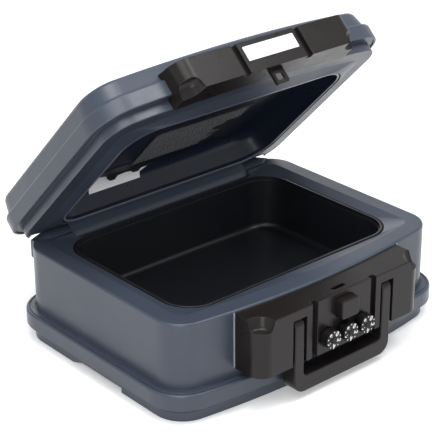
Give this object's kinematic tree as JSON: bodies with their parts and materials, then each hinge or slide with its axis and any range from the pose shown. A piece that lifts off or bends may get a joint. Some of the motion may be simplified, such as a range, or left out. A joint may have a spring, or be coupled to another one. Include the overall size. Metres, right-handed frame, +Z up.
{
  "type": "fireproof document box",
  "caption": "Moulded fire-resistant document chest with a hinged lid, a combination push-button catch and a drop handle.",
  "frame": {"origin": "floor level under the middle of the open box's bounding box", "axes": "+X along the box's width (towards its left-hand side seen from the front is -X), -Y towards the lock and handle, +Z up"},
  "size_m": [0.403, 0.3714, 0.3549],
  "materials": {
    "shell_plastic": "satin moulded",
    "black_plastic": "satin moulded",
    "liner_plastic": "glossy moulded",
    "insulation": "cast aerated mineral filling",
    "seal_rubber": "matt",
    "dial_plastic": "semi-gloss",
    "plated_steel": "zinc plated",
    "brass_parts": "machined",
    "label_paper": "printed, satin",
    "plate_plastic": "satin"
  },
  "bodies": {
    "base": {"base_pan": "shell_plastic", "base_shell": "shell_plastic", "base_insulation": "insulation", "base_liner": "liner_plastic", "base_seal": "seal_rubber", "lock_housing": "black_plastic", "lock_plate": "black_plastic", "lock_back_plate": "plated_steel", "lock_plate_screws": "plated_steel", "handle_pins": "plated_steel", "hinge_rod": "plated_steel", "latch_spring": "plated_steel", "button_spring": "plated_steel"},
    "lid": {"lid_cover": "shell_plastic", "lid_rim": "shell_plastic", "lid_liner": "liner_plastic", "lid_insulation": "insulation", "lid_seal": "seal_rubber", "lid_panel": "black_plastic", "nameplate": "plate_plastic", "striker": "plated_steel", "striker_screws": "plated_steel", "lid_label": "label_paper", "lid_sticker": "label_paper"},
    "handle": {"handle": "black_plastic"},
    "button": {"push_button": "black_plastic", "lock_bar": "plated_steel"},
    "latch": {"latch_bolt": "plated_steel"},
    "dial_1": {"dial_knob_1": "dial_plastic", "dial_shaft_1": "brass_parts", "gate_disc_1": "brass_parts"},
    "dial_2": {"dial_knob_2": "dial_plastic", "dial_shaft_2": "brass_parts", "gate_disc_2": "brass_parts"},
    "dial_3": {"dial_knob_3": "dial_plastic", "dial_shaft_3": "brass_parts", "gate_disc_3": "brass_parts"}
  },
  "joints": [
    {"name": "lid_hinge", "type": "hinge", "parent": "base", "child": "lid", "pos_m": [0, 0.13785, 0.0996], "axis": [-1, 0, 0], "range_deg": [-45.8, 50]},
    {"name": "handle_swing", "type": "hinge", "parent": "base", "child": "handle", "pos_m": [0, -0.1644, 0.0877], "axis": [-1, 0, 0], "range_deg": [0, 92]},
    {"name": "button_press", "type": "slide", "parent": "base", "child": "button", "axis": [0, 1, 0], "range_m": [0, 0.005], "stiffness_N_per_m": 400, "springref_m": -0.004, "deforming": ["button_spring"]},
    {"name": "latch_slide", "type": "slide", "parent": "base", "child": "latch", "axis": [0, 1, 0], "range_m": [-0.004, 0], "deforming": ["latch_spring"]},
    {"name": "dial_1_turn", "type": "hinge", "parent": "base", "child": "dial_1", "pos_m": [-0.0253, -0.17365, 0.0635], "axis": [0, -1, 0], "continuous": true},
    {"name": "dial_2_turn", "type": "hinge", "parent": "base", "child": "dial_2", "pos_m": [0, -0.17365, 0.0635], "axis": [0, -1, 0], "continuous": true},
    {"name": "dial_3_turn", "type": "hinge", "parent": "base", "child": "dial_3", "pos_m": [0.0253, -0.17365, 0.0635], "axis": [0, -1, 0], "continuous": true}
  ]
}
